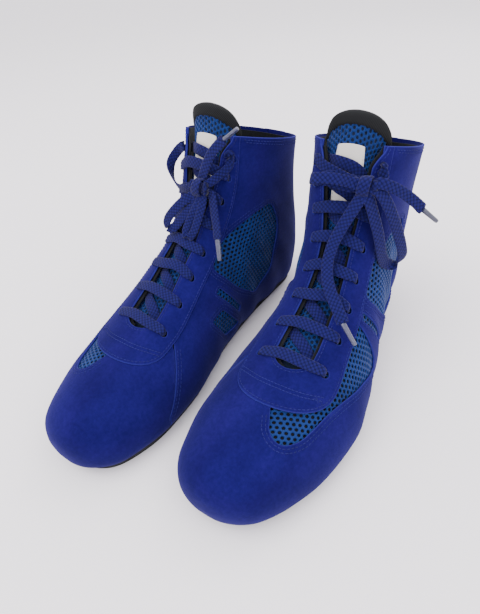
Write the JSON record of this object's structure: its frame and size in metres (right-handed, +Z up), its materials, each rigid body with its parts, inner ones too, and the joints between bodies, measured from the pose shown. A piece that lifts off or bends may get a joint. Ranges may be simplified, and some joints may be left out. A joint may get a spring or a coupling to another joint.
{
  "type": "pair of boxing boots",
  "caption": "Pair of ankle-high lace-up boxing boots in blue suede and air mesh, with padded tongues and thin rubber soles.",
  "frame": {"origin": "on the ground, at the centre of the pair's box without the bows", "axes": "+Z up, toes towards -Y, the wearer's left boot at +X"},
  "size_m": [0.2191, 0.3076, 0.1868],
  "materials": {
    "suede": "napped suede, royal blue",
    "mesh": "open air mesh with hexagonal holes",
    "lining": "fine knitted lining, matte",
    "foam": "soft open foam",
    "stiffener": "plain thermoplastic sheet",
    "board": "pressed fibre board",
    "rubber": "moulded black rubber, matte",
    "binding": "folded woven binding, matte",
    "label": "smooth woven label",
    "lace": "flat braid",
    "aglet": "clear plastic sleeve over the braid"
  },
  "bodies": {
    "left_boot": {"left_outsole": "rubber", "left_lasting_board": "board", "left_sockliner": "lining", "left_toe_piece": "suede", "left_facing": "suede", "left_quarter_lateral": "suede", "left_quarter_medial": "suede", "left_backstay": "suede", "left_vamp_mesh_lateral": "mesh", "left_vamp_mesh_medial": "mesh", "left_ankle_mesh_lateral": "mesh", "left_ankle_mesh_medial": "mesh", "left_toe_puff": "stiffener", "left_heel_counter": "stiffener", "left_lining_lateral": "lining", "left_lining_medial": "lining", "left_lace": "lace", "left_knot": "lace", "left_loop_a": "lace", "left_loop_b": "lace", "left_tail_a": "lace", "left_tail_b": "lace", "left_aglet_a": "aglet", "left_aglet_b": "aglet"},
    "left_tongue": {"left_tongue_mesh": "mesh", "left_tongue_foam": "foam", "left_tongue_lining": "lining", "left_tongue_binding": "binding", "left_tongue_label": "label"},
    "right_boot": {"right_outsole": "rubber", "right_lasting_board": "board", "right_sockliner": "lining", "right_toe_piece": "suede", "right_facing": "suede", "right_quarter_lateral": "suede", "right_quarter_medial": "suede", "right_backstay": "suede", "right_vamp_mesh_lateral": "mesh", "right_vamp_mesh_medial": "mesh", "right_ankle_mesh_lateral": "mesh", "right_ankle_mesh_medial": "mesh", "right_toe_puff": "stiffener", "right_heel_counter": "stiffener", "right_lining_lateral": "lining", "right_lining_medial": "lining", "right_lace": "lace", "right_knot": "lace", "right_loop_a": "lace", "right_loop_b": "lace", "right_tail_a": "lace", "right_tail_b": "lace", "right_aglet_a": "aglet", "right_aglet_b": "aglet"},
    "right_tongue": {"right_tongue_mesh": "mesh", "right_tongue_foam": "foam", "right_tongue_lining": "lining", "right_tongue_binding": "binding", "right_tongue_label": "label"}
  },
  "joints": [
    {"name": "left_tongue_bend", "type": "hinge", "parent": "left_boot", "child": "left_tongue", "pos_m": [0.0571, -0.0566, 0.0447], "axis": [-0.9982, -0.0593, 0], "range_deg": [0, 15], "stiffness_Nm_per_rad": 0.2, "springref_deg": -20.05},
    {"name": "right_boot_lift", "type": "slide", "parent": "left_boot", "child": "right_boot", "axis": [0, 0, 1], "range_m": [0, 0.3]},
    {"name": "right_tongue_bend", "type": "hinge", "parent": "right_boot", "child": "right_tongue", "pos_m": [-0.0571, -0.075, 0.0447], "axis": [-0.9982, 0.0593, 0], "range_deg": [0, 15], "stiffness_Nm_per_rad": 0.2, "springref_deg": -20.05}
  ]
}
